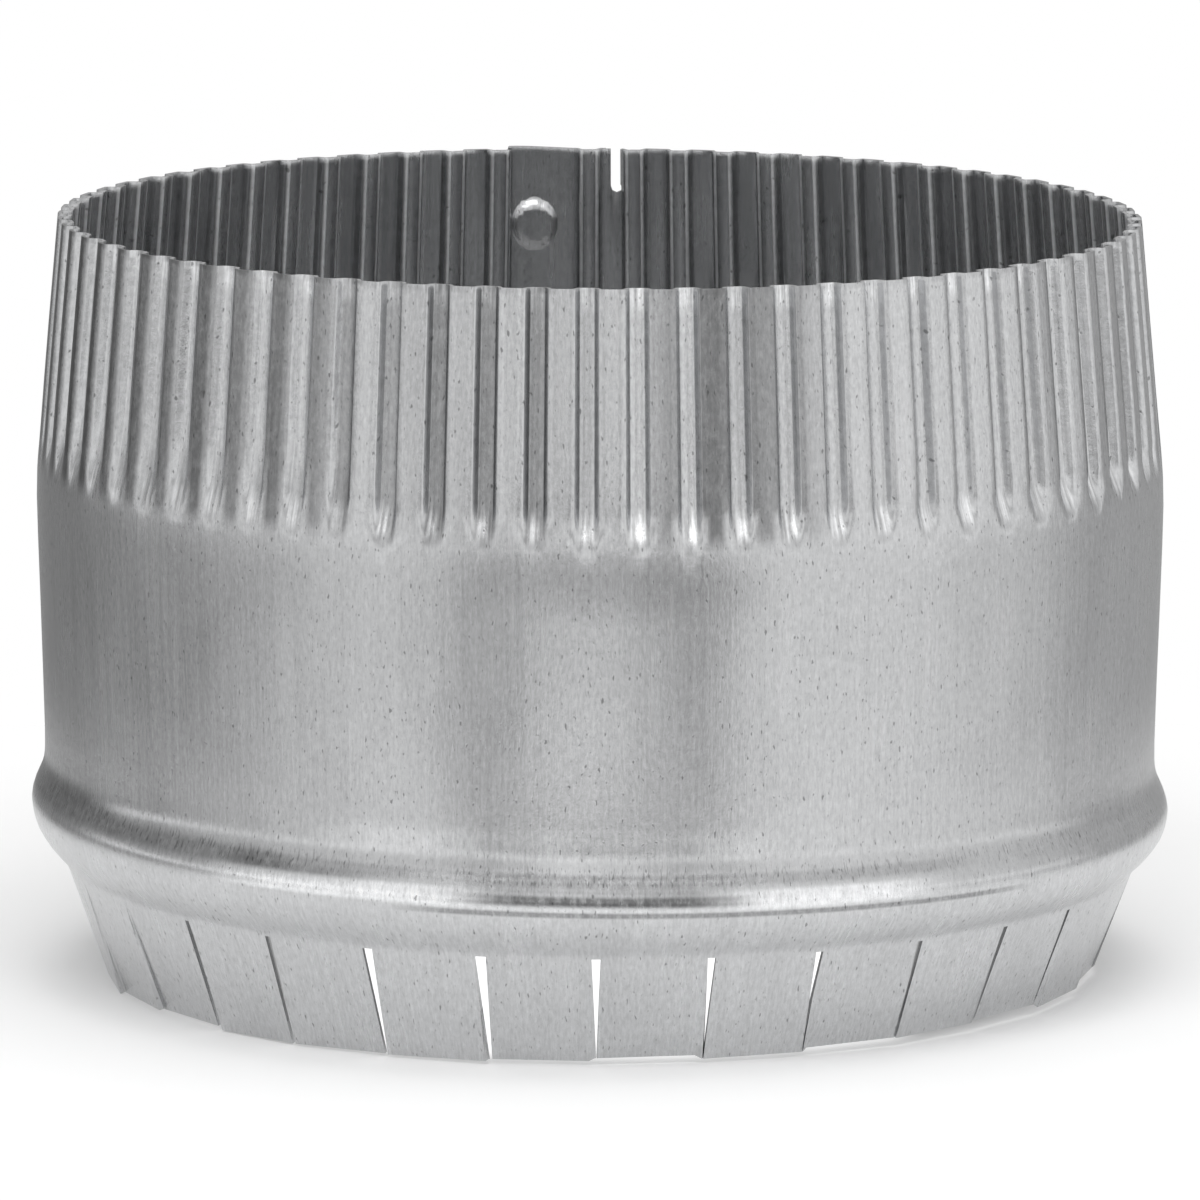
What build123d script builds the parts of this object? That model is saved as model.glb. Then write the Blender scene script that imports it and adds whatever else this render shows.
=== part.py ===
"""Duct starting collar: one strip of galvanised sheet, rolled to a ring, lapped and clinched.

Millimetres. Z runs up the axis, from the tips of the bent tabs at the bottom to the crimped rim.
The lap lies on the +Y side.
"""

import math
import os

from build123d import *

# The whole collar
height = 103.0
band_radius = 76.2
sheet = 0.5

# Tabs that bend in below the bead, parted by slits
tab_count = 30
tab_height = 15.0
tab_tip_inset = 9.0
neck_inset = 2.2
slit_top_width = 1.3
slit_tip_width = 0.3
slit_stop = 1.0

# Rolled bead that stops the collar at the hole
bead_rise = 1.3
bead_round = 6.0
bead_flats = 3
bead_lower = 7.0
bead_upper = 5.7

# Crimped end that enters the next pipe
crimp_count = 71
crimp_length = 32.5
crimp_setback = 1.0
crimp_fade = 3.5
crimp_depth = 1.4
crimp_mouth = 3.2
crimp_floor = 1.9
rim_inset = 2.7
rim_trim = 2.0

# Lap where the strip's ends meet, its joggle, and the notch in the rim
lap_width = 14.8
lap_edge_offset = 0.9
joggle_width = 5.0
notch_width = 1.75
notch_depth = 6.3
notch_gap = 0.7

# Clinched buttons that hold the lap
button_count = 3
button_diameter = 7.0
button_face = 5.3
button_rise = 0.8
button_drop = 11.0
button_setback = 10.6
button_shift = 1.3

# Heights and radii that follow from these
foot_z = height - crimp_length
bead_z = tab_height + bead_lower
bead_end_z = bead_z + bead_upper
bead_radius = band_radius + bead_rise
neck_radius = band_radius - neck_inset
tip_radius = band_radius - tab_tip_inset
rim_radius = band_radius - rim_inset


def arc_angle(width):
    """Angle in degrees of a width measured round the band."""
    return math.degrees(width / band_radius)


# Angles round the axis, counted from +X towards +Y
lap_out = 90.0 - arc_angle(lap_edge_offset)
lap_in = lap_out + arc_angle(lap_width)
joggle_end = lap_out - arc_angle(joggle_width)
notch_angle = lap_out - arc_angle(notch_gap + notch_width / 2)
button_angle = lap_out + arc_angle(button_setback)
crimp_pitch = 360.0 / crimp_count
pressed_angle = button_angle - arc_angle(button_shift)


def at(angle, radius, z):
    """Point at an angle, a radius and a height round the axis."""
    turn = math.radians(angle)
    return Vector(radius * math.cos(turn), radius * math.sin(turn), z)


def wall_radius(z):
    """Outer radius of the wall at a height, over the band and up the crimped end."""
    return band_radius - rim_inset * max(0.0, z - foot_z) / crimp_length


def touch_angle(point, centre, radius, side):
    """Angle at which a flank from a point touches the round of the bead, on one side of it."""
    away = Vector(*point) - Vector(*centre)
    return math.atan2(away.Y, away.X) + side * math.acos(radius / away.length)


def bead_crest(neck, shoulder):
    """Points over the crest of the bead, rolled in narrow flats between its two flanks."""
    centre = (bead_radius - bead_round, bead_z)
    first = touch_angle(neck, centre, bead_round, 1)
    last = touch_angle(shoulder, centre, bead_round, -1)
    turns = [first + (last - first) * k / bead_flats for k in range(bead_flats + 1)]
    return [(centre[0] + bead_round * math.cos(t), centre[1] + bead_round * math.sin(t)) for t in turns]


def outside_path():
    """Outer line of the wall, from the tip of a tab over the bead and the band past the rim."""
    tip = (tip_radius, 0)
    neck = (neck_radius, tab_height)
    shoulder = (band_radius, bead_end_z)
    foot = (band_radius, foot_z)
    end = (wall_radius(height + rim_trim), height + rim_trim)
    return Polyline(tip, neck, *bead_crest(neck, shoulder), shoulder, foot, end).wire()


def section_to(depth):
    """Section of the wall from the outside down to a depth."""
    path = outside_path()
    return make_face(path.offset_2d(depth, kind=Kind.INTERSECTION, side=Side.LEFT, closed=True))


def layer(depth, angle):
    """Section of one thickness of sheet whose outer face lies at a depth under the outside."""
    section = section_to(depth + sheet)
    if depth > 0:
        section -= section_to(depth)
    return Rot(0, 0, angle) * (Plane.XZ * section)


def rolled_wall():
    """The rolled strip: the ring, its second layer in the lap and the joggle between them."""
    ring = revolve(layer(0, lap_out), Axis.Z, 360 - (lap_out - joggle_end))
    second = revolve(layer(sheet, lap_out), Axis.Z, lap_in - lap_out)
    joggle = loft([layer(sheet, lap_out), layer(0, joggle_end)], ruled=True)
    return ring + second + joggle


# A crimp's walls lean, so each face further into the sheet is wider by a fixed shift per millimetre
crimp_lean = (crimp_mouth - crimp_floor) / 2 / crimp_depth
wall_shift = math.tan((math.pi / 2 - math.atan(crimp_lean)) / 2)
fade_shift = math.tan(math.atan2(crimp_depth, crimp_fade) / 2)
crimp_slope = math.atan2(rim_inset, crimp_length)


def flat_sided(points, tops):
    """Solid with flat sides between two outlines of as many corners."""
    count = len(points)
    faces = [Face(Wire.make_polygon(points)), Face(Wire.make_polygon(tops))]
    for k in range(count):
        following = (k + 1) % count
        faces.append(Face(Wire.make_polygon([points[k], points[following], tops[following], tops[k]])))
    return Solid(Shell(faces))


def crimp_bar(angle, top_depth, floor_depth, inset):
    """Bar along one crimp between two depths, offset by an inset from the crimp's outer face.

    Its sides run to the apex of the cone that the end is drawn to, so crimps narrow towards the rim.
    """
    corners = []
    for depth, sides in ((top_depth, (-1, 1)), (floor_depth, (1, -1))):
        run = depth - inset
        half = crimp_mouth / 2 - crimp_lean * run + wall_shift * inset
        z = foot_z + crimp_setback + crimp_fade * run / crimp_depth - fade_shift * inset
        radius = wall_radius(z) - depth / math.cos(crimp_slope)
        corners += [Vector(radius, side * half, z) for side in sides]
    apex = Vector(0, 0, foot_z + band_radius / math.tan(crimp_slope) - inset / math.sin(crimp_slope))
    reach = (crimp_length + 2 * crimp_fade) * math.tan(crimp_slope) / band_radius
    ends = [corner + (apex - corner) * reach for corner in corners]
    return Rot(0, 0, angle) * flat_sided(corners, ends)


def crimp_angles():
    """Angles of the crimps; the one that the buttons sit in is pressed flat."""
    return [pressed_angle + k * crimp_pitch for k in range(1, crimp_count)]


def layers_at(angle):
    """Thicknesses of sheet that a crimp at an angle is pressed into."""
    return 2 if (angle - joggle_end) % 360 < lap_in - joggle_end else 1


def crimp_rib(angle):
    """Rib that a crimp raises inside the collar."""
    inset = sheet * layers_at(angle)
    return crimp_bar(angle, sheet / 2, crimp_depth + inset, inset)


def crimp_groove(angle):
    """Groove that the crimp leaves outside."""
    return crimp_bar(angle, -sheet, crimp_depth, 0)


def above_rim():
    """Everything above the rim, where the strip's edge is cut square."""
    return Pos(0, 0, 1.5 * height) * Box(4 * band_radius, 4 * band_radius, height)


def slit(angle):
    """Cutter for the slit between two tabs, wide at the bead and nearly closed at the tips."""
    top = tab_height - slit_stop
    half_tip = slit_tip_width / 2
    half_top = slit_top_width / 2
    outline = Polyline(
        (-half_tip, -slit_stop),
        (half_tip, -slit_stop),
        (half_top, top),
        (-half_top, top),
        close=True,
    )
    blade = extrude(Plane.YZ * make_face(outline), 2 * tab_tip_inset)
    return Rot(0, 0, angle) * Pos(tip_radius - tab_tip_inset / 2, 0, 0) * blade


def notch():
    """Cutter for the round-bottomed notch in the rim beside the lap."""
    half = notch_width / 2
    bottom = height - notch_depth + half
    slot = Pos(0, bottom + notch_depth / 2) * Rectangle(notch_width, notch_depth)
    shape = Pos(0, bottom) * Circle(half) + slot
    blade = extrude(Plane.YZ * shape, 4 * rim_inset)
    return Rot(0, 0, notch_angle) * Pos(rim_radius - 2 * rim_inset, 0, 0) * blade


def button_frame(z, depth):
    """Plane square to the wall at a button, at a depth under the outside and facing inwards."""
    slope = crimp_slope if z > foot_z else 0.0
    along = at(button_angle, -math.sin(slope), math.cos(slope))
    inward = at(button_angle, -math.cos(slope), -math.sin(slope))
    return Plane(at(button_angle, wall_radius(z), z) + inward * depth, x_dir=along, z_dir=inward)


button_flare = (button_diameter - button_face) / 2 / button_rise
button_root = 1.2 * sheet
button_align = (Align.CENTER, Align.CENTER, Align.MIN)


def button_boss(z):
    """Button that stands out inside the collar."""
    root = 2 * sheet - button_root
    base = button_diameter / 2 + button_flare * root
    return button_frame(z, button_root) * Cone(base, button_face / 2, root + button_rise, align=button_align)


def button_dent(z):
    """Dent that the same button leaves outside."""
    run = button_rise + 2 * sheet
    mouth = button_diameter / 2 - sheet + button_flare * sheet
    return button_frame(z, -sheet) * Cone(mouth, mouth - button_flare * run, run, align=button_align)


button_top = height - button_drop
button_low = bead_end_z + button_diameter
button_step = (button_top - button_low) / (button_count - 1)
button_heights = [button_low + k * button_step for k in range(button_count)]
slit_angles = [lap_out + k * 360.0 / tab_count for k in range(tab_count)]

collar = rolled_wall()
collar += [crimp_rib(a) for a in crimp_angles()] + [button_boss(z) for z in button_heights]
collar -= [crimp_groove(a) for a in crimp_angles()] + [button_dent(z) for z in button_heights]
collar -= [slit(a) for a in slit_angles] + [notch(), above_rim()]

os.makedirs("parts", exist_ok=True)
export_step(collar, "parts/collar.step")
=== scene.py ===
"""Duct starting collar: a strip of galvanised sheet, rolled, lapped, beaded, crimped and slit.

The flat blank is cut as a mesh, and a Geometry Nodes tree forms it as the real strip is formed.
"""

import logging
import math
from dataclasses import dataclass, field
from enum import Enum
from functools import reduce
from operator import add, mul
from typing import Union

import bmesh
import bpy
import numpy as np
from mathutils import Matrix, Vector


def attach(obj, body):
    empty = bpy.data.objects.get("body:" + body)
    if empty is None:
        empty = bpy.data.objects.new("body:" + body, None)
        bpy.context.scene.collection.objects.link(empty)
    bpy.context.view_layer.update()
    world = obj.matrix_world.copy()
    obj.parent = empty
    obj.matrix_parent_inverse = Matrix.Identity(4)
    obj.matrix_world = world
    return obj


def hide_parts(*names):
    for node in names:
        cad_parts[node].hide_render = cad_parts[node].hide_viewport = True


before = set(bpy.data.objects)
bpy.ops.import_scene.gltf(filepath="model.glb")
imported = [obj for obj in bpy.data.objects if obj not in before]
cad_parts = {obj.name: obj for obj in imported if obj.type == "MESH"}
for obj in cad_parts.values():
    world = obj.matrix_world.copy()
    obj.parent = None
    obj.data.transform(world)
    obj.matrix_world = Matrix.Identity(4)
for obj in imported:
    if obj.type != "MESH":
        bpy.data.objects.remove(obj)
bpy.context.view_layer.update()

LOG = logging.getLogger("collar")
MM = 0.001
FULL_TURN = 2 * math.pi
BAND_RADIUS = 76.2
BAND_GIRTH = BAND_RADIUS * FULL_TURN
CRIMP_COUNT = 71
CRIMP_PHASE = -0.62
BUTTON_SETBACK = 10.6
WHITE = (1.0, 1.0, 1.0)

Number = Union[float, int]
Value = Union["Field", float, int]
Span = tuple[float, float]
Point = tuple[float, float, float]


class Slope(Enum):
    """How a ramp climbs between its two ends."""

    STRAIGHT = "LINEAR"
    SMOOTH = "SMOOTHSTEP"


class Draw(Enum):
    """Seeds of the fixed random draws, one for each kind of unevenness."""

    RIDGE_LEAN = 3
    VALLEY_LEAN = 4
    FOOT_STEP = 5
    TAB_BEND = 10
    TAB_LEAN = 11
    TIP_STEP = 24
    RIDGE_DULL = 34
    VALLEY_DULL = 35


class Field:
    """One value in a node tree, with arithmetic that adds the nodes it needs."""

    def __init__(self, tree: bpy.types.NodeTree, socket: bpy.types.NodeSocket) -> None:
        """Keep the tree and the socket that carries the value.

        Args:
            tree: Node tree that the value lives in.
            socket: Output socket that gives it.
        """
        self.tree = tree
        self.socket = socket

    def _math(self, operation: str, *others: Value, swap: bool = False) -> "Field":
        """Add a math node on this value and others.

        Args:
            operation: Name of the math operation.
            others: Further operands, fields or plain numbers.
            swap: Put this value second instead of first.

        Returns:
            The result as a field.
        """
        node = self.tree.nodes.new("ShaderNodeMath")
        node.operation = operation
        values = [*others, self] if swap else [self, *others]
        for value, socket in zip(values, node.inputs):
            feed(self.tree, value, socket)
        return Field(self.tree, node.outputs[0])

    def __add__(self, other: Value) -> "Field":
        """Sum of two values."""
        return self._math("ADD", other)

    def __radd__(self, other: Number) -> "Field":
        """Sum of a number and this value."""
        return self._math("ADD", other)

    def __sub__(self, other: Value) -> "Field":
        """Difference of two values."""
        return self._math("SUBTRACT", other)

    def __rsub__(self, other: Number) -> "Field":
        """Difference of a number and this value."""
        return self._math("SUBTRACT", other, swap=True)

    def __mul__(self, other: Value) -> "Field":
        """Product of two values."""
        return self._math("MULTIPLY", other)

    def __rmul__(self, other: Number) -> "Field":
        """Product of a number and this value."""
        return self._math("MULTIPLY", other)

    def __truediv__(self, other: Value) -> "Field":
        """Quotient of two values."""
        return self._math("DIVIDE", other)

    def __rtruediv__(self, other: Number) -> "Field":
        """Quotient of a number and this value."""
        return self._math("DIVIDE", other, swap=True)

    def __neg__(self) -> "Field":
        """This value with its sign turned."""
        return self._math("MULTIPLY", -1.0)

    def root(self) -> "Field":
        """Square root of this value."""
        return self._math("SQRT")

    def size(self) -> "Field":
        """This value without its sign."""
        return self._math("ABSOLUTE")

    def floor(self) -> "Field":
        """Whole number at or below this value."""
        return self._math("FLOOR")

    def cos(self) -> "Field":
        """Cosine of this value in radians."""
        return self._math("COSINE")

    def sin(self) -> "Field":
        """Sine of this value in radians."""
        return self._math("SINE")

    def angle_from(self, other: Value) -> "Field":
        """Angle in radians whose tangent is this value over another."""
        return self._math("ARCTAN2", other)

    def least(self, other: Value) -> "Field":
        """The smaller of two values."""
        return self._math("MINIMUM", other)

    def most(self, other: Value) -> "Field":
        """The larger of two values."""
        return self._math("MAXIMUM", other)

    def ramp(self, low: Value, high: Value, slope: Slope = Slope.SMOOTH) -> "Field":
        """Rise from nought at one value to one at another.

        Args:
            low: Value at which the ramp starts.
            high: Value at which it reaches one.
            slope: Straight or smooth rise.

        Returns:
            The ramp as a field between nought and one.
        """
        node = self.tree.nodes.new("ShaderNodeMapRange")
        node.interpolation_type = slope.value
        node.clamp = True
        for name, value in (("Value", self), ("From Min", low), ("From Max", high)):
            feed(self.tree, value, node.inputs[name])
        return Field(self.tree, node.outputs["Result"])

    def window(self, rise: Span, fall: Span) -> "Field":
        """One between a rise and a fall, each given by the values where it starts and ends."""
        return self.ramp(*rise) * (1.0 - self.ramp(*fall))

    def around(self, low: Number, high: Number, soft: Number) -> "Field":
        """One between two values and nought outside them, with ends as soft as a width."""
        half = (high - low) / 2
        return (self - (low + high) / 2).size().ramp(half + soft, half - soft)

    def soft_rise(self, rounding: Number) -> "Field":
        """Nought below nought and this value above it, with the corner rounded over a width."""
        width = rounding * rounding
        return (self + (self * self + width).root()) * 0.5


def feed(tree: bpy.types.NodeTree, value: Value, socket: bpy.types.NodeSocket) -> None:
    """Link a field to an input socket, or set a plain number on it.

    Args:
        tree: Node tree of the socket.
        value: Field or number.
        socket: Input socket that takes it.
    """
    if isinstance(value, Field):
        tree.links.new(value.socket, socket)
    else:
        socket.default_value = float(value)


def radians_of(span: Span) -> Span:
    """Both ends of a span of degrees in radians."""
    return math.radians(span[0]), math.radians(span[1])


def sines_of(span: Span) -> Span:
    """Sines of both ends of a span of degrees."""
    return math.sin(math.radians(span[0])), math.sin(math.radians(span[1]))


class NodeKit:
    """Short calls for the nodes that the forming tree, the finishes and the room share."""

    tree: bpy.types.NodeTree

    def add(self, kind: str) -> bpy.types.Node:
        """A new node of a kind."""
        return self.tree.nodes.new(kind)

    def link(self, source: bpy.types.NodeSocket, target: bpy.types.NodeSocket) -> None:
        """Join two sockets."""
        self.tree.links.new(source, target)

    def field(self, socket: bpy.types.NodeSocket) -> Field:
        """An output socket as a field."""
        return Field(self.tree, socket)

    def separate(self, socket: bpy.types.NodeSocket) -> list[Field]:
        """The three parts of a vector socket as fields.

        Args:
            socket: Output socket with the vector.

        Returns:
            Its parts along X, Y and Z.
        """
        node = self.add("ShaderNodeSeparateXYZ")
        self.link(socket, node.inputs[0])
        return [self.field(output) for output in node.outputs]

    def combine(self, *parts: Value) -> bpy.types.NodeSocket:
        """A vector socket from three parts.

        Args:
            parts: Fields or numbers along X, Y and Z.

        Returns:
            Output socket with the vector.
        """
        node = self.add("ShaderNodeCombineXYZ")
        for part, socket in zip(parts, node.inputs):
            feed(self.tree, part, socket)
        return node.outputs[0]


@dataclass(frozen=True)
class Bend:
    """A point of the wall's profile: its height, outer radius and how softly it bends there."""

    height: float
    radius: float
    rounding: float


@dataclass(frozen=True)
class Button:
    """A clinched button: its place on the strip and its height, in degrees and millimetres."""

    turn: float
    height: float


@dataclass(frozen=True)
class Patch:
    """A stretch of flats darkened with painted shade: its turns in degrees and its depth."""

    low: float
    high: float
    depth: float


@dataclass
class SheetBlank:
    """The flat strip before forming, as a grid that is finer where the sheet will bend.

    Lengths are millimetres and turns are degrees round the axis, counted from the lap's outer edge.
    """

    band_radius: float
    strip_turn: float
    rows: list[float]
    crimp_count: int
    crimp_phase: float
    crimp_marks: tuple[float, ...]
    tab_count: int
    slit_top: float
    slit_widths: Span
    own_widths: dict[int, Span]
    notch_turn: float
    notch_width: float
    notch_depth: float
    height: float
    buttons: list[Button]
    button_reach: float
    tab_seed: int = 5
    snip_wander: float = 0.35
    notch_steps: tuple[float, ...] = (-1.0, -0.7, 0.0, 0.7, 1.0)
    button_steps: int = 12
    button_cuts: int = 14
    reach_margin: float = 1.01
    column_gap: float = 0.08
    same_turn: float = 1e-4
    hair: float = 0.01
    upright_lean: float = 0.01
    upright_step: float = 0.05

    def turn_of(self, width: float) -> float:
        """Turn in degrees of a width measured round the band."""
        return math.degrees(width / self.band_radius)

    def notch_columns(self) -> list[float]:
        """Turns of the columns that edge and fill the notch."""
        half = self.turn_of(self.notch_width) / 2
        return [self.notch_turn + half * step for step in self.notch_steps]

    def button_columns(self) -> list[float]:
        """Turns of the fine columns across each button.

        Returns:
            The turns in degrees, in any order.
        """
        reach = self.turn_of(self.button_reach)
        turns = {round(b.turn, 4) for b in self.buttons}
        steps = range(-self.button_steps, self.button_steps + 1)
        return [t + reach * k / self.button_steps for t in turns for k in steps]

    def columns(self) -> np.ndarray:
        """Turns of the grid's columns: every crimp's marks, with the notch and buttons let in.

        Returns:
            The turns in rising order, from the lap's outer edge to its inner one.
        """
        pitch = 360.0 / self.crimp_count
        first = int(math.floor(-self.crimp_phase / pitch)) - 1
        last = int(math.ceil((self.strip_turn - self.crimp_phase) / pitch)) + 1
        marks = [
            self.crimp_phase + (k + m) * pitch
            for k in range(first, last)
            for m in self.crimp_marks
        ]
        fixed = sorted([0.0, self.strip_turn] + self.notch_columns() + self.button_columns())
        fixed = [t for t in fixed if 0.0 <= t <= self.strip_turn]
        spans = [(min(self.notch_columns()), max(self.notch_columns()))]
        reach = self.turn_of(self.button_reach)
        spans += [(b.turn - reach, b.turn + reach) for b in self.buttons]
        keep = []
        for turn in marks:
            inside = any(low <= turn <= high for low, high in spans)
            near = min(abs(turn - f) for f in fixed) < self.column_gap
            if 0.0 < turn < self.strip_turn and not inside and not near:
                keep.append(turn)
        every = sorted(set(keep + fixed))
        apart = [t for t, last in zip(every[1:], every) if t - last > self.same_turn]
        return np.array(every[:1] + apart)

    def slit_turns(self) -> list[float]:
        """Turns of the slits' middles; the cuts are a little uneven, as by hand snips.

        Returns:
            The turns in degrees, in rising order.
        """
        rng = np.random.default_rng(self.tab_seed)
        pitch = 360.0 / self.tab_count
        count = int(self.strip_turn // pitch)
        wander = self.snip_wander
        return [k * pitch + float(rng.uniform(-wander, wander)) for k in range(1, count + 1)]

    def slit_width(self, number: int, rise: float) -> float:
        """Width of a slit at a height, from the tips to its top.

        Args:
            number: Number of the slit round the strip.
            rise: Height above the tips.

        Returns:
            The width in millimetres.
        """
        share = min(1.0, max(0.0, rise / self.slit_top))
        tip, top = self.own_widths.get(number, self.slit_widths)
        return tip + (top - tip) * share

    def slit_columns(self, turns: np.ndarray) -> list[int]:
        """Index of the column of faces that each slit takes out."""
        middles = (turns[:-1] + turns[1:]) / 2
        return [int(np.argmin(np.abs(middles - s))) for s in self.slit_turns()]

    def tab_turns(self, turns: np.ndarray, rise: float) -> np.ndarray:
        """Turns of the columns at a height in the tabs, moved to the straight edges of the slits.

        Args:
            turns: Turns of the columns in the crimped end.
            rise: Height above the tips.

        Returns:
            The moved turns.
        """
        known = [0.0]
        moved = [0.0]
        slits = zip(self.slit_columns(turns), self.slit_turns())
        for number, (column, middle) in enumerate(slits, 1):
            half = self.turn_of(self.slit_width(number, rise)) / 2
            known += [float(turns[column]), float(turns[column + 1])]
            moved += [middle - half, middle + half]
        known.append(float(turns[-1]))
        moved.append(float(turns[-1]))
        return np.interp(turns, known, moved)

    def grid(self, shape: bmesh.types.BMesh, turns: np.ndarray) -> list[list[bmesh.types.BMVert]]:
        """Set the blank's points: X runs round the band and Y up the axis, both in metres.

        Args:
            shape: Mesh that takes the points.
            turns: Turns of the columns.

        Returns:
            The points row by row.
        """
        points = []
        blend_top = self.height / 2
        half = self.notch_width / 2
        bottom = self.height - self.notch_depth
        for rise in self.rows:
            share = min(1.0, max(0.0, (rise - self.slit_top) / (blend_top - self.slit_top)))
            line = []
            for turn in self.tab_turns(turns, rise) * (1 - share) + turns * share:
                lift = rise
                across = math.radians(turn - self.notch_turn) * self.band_radius
                if abs(rise - bottom) < self.hair and abs(across) < half + self.hair:
                    lift = bottom + half - math.sqrt(max(0.0, half * half - across * across))
                run = math.radians(turn) * self.band_radius
                line.append(shape.verts.new((run * MM, lift * MM, 0.0)))
            points.append(line)
        return points

    def mesh(self, name: str) -> bpy.types.Mesh:
        """Cut the blank.

        Args:
            name: Name of the mesh.

        Returns:
            The flat mesh with slits and notch, refined at the buttons.
        """
        turns = self.columns()
        shape = bmesh.new()
        grid = self.grid(shape, turns)
        notch = self.notch_columns()
        notch_from = self.height - self.notch_depth - self.hair
        slits = set(self.slit_columns(turns))
        for r, rise in enumerate(self.rows[:-1]):
            in_slit = rise < self.slit_top - self.hair
            in_notch = rise > notch_from
            for c in range(len(turns) - 1):
                middle = (turns[c] + turns[c + 1]) / 2
                if in_slit and c in slits:
                    continue
                if in_notch and notch[0] < middle < notch[-1]:
                    continue
                low, high = grid[r], grid[r + 1]
                shape.faces.new((low[c], low[c + 1], high[c + 1], high[c]))
        self.refine(shape)
        loose = [v for v in shape.verts if not v.link_faces]
        bmesh.ops.delete(shape, geom=loose, context="VERTS")
        made = bpy.data.meshes.new(name)
        shape.to_mesh(made)
        shape.free()
        return made

    def refine(self, shape: bmesh.types.BMesh) -> None:
        """Divide the upright edges across each button, where the sheet is pressed to a small round.

        Args:
            shape: The blank's grid.
        """
        reach = self.turn_of(self.button_reach)
        picked = []
        for edge in shape.edges:
            low, high = (v.co / MM for v in edge.verts)
            slack = self.upright_lean * abs(low.y - high.y) + self.upright_step
            if abs(low.x - high.x) > slack:
                continue
            turn = math.degrees((low.x + high.x) / 2 / self.band_radius)
            for button in self.buttons:
                beside = abs(turn - button.turn) < reach * self.reach_margin
                under = min(low.y, high.y) < button.height + self.button_reach
                over = max(low.y, high.y) > button.height - self.button_reach
                if beside and under and over:
                    picked.append(edge)
                    break
        bmesh.ops.subdivide_edges(
            shape, edges=picked, cuts=self.button_cuts, use_grid_fill=False
        )


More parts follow.
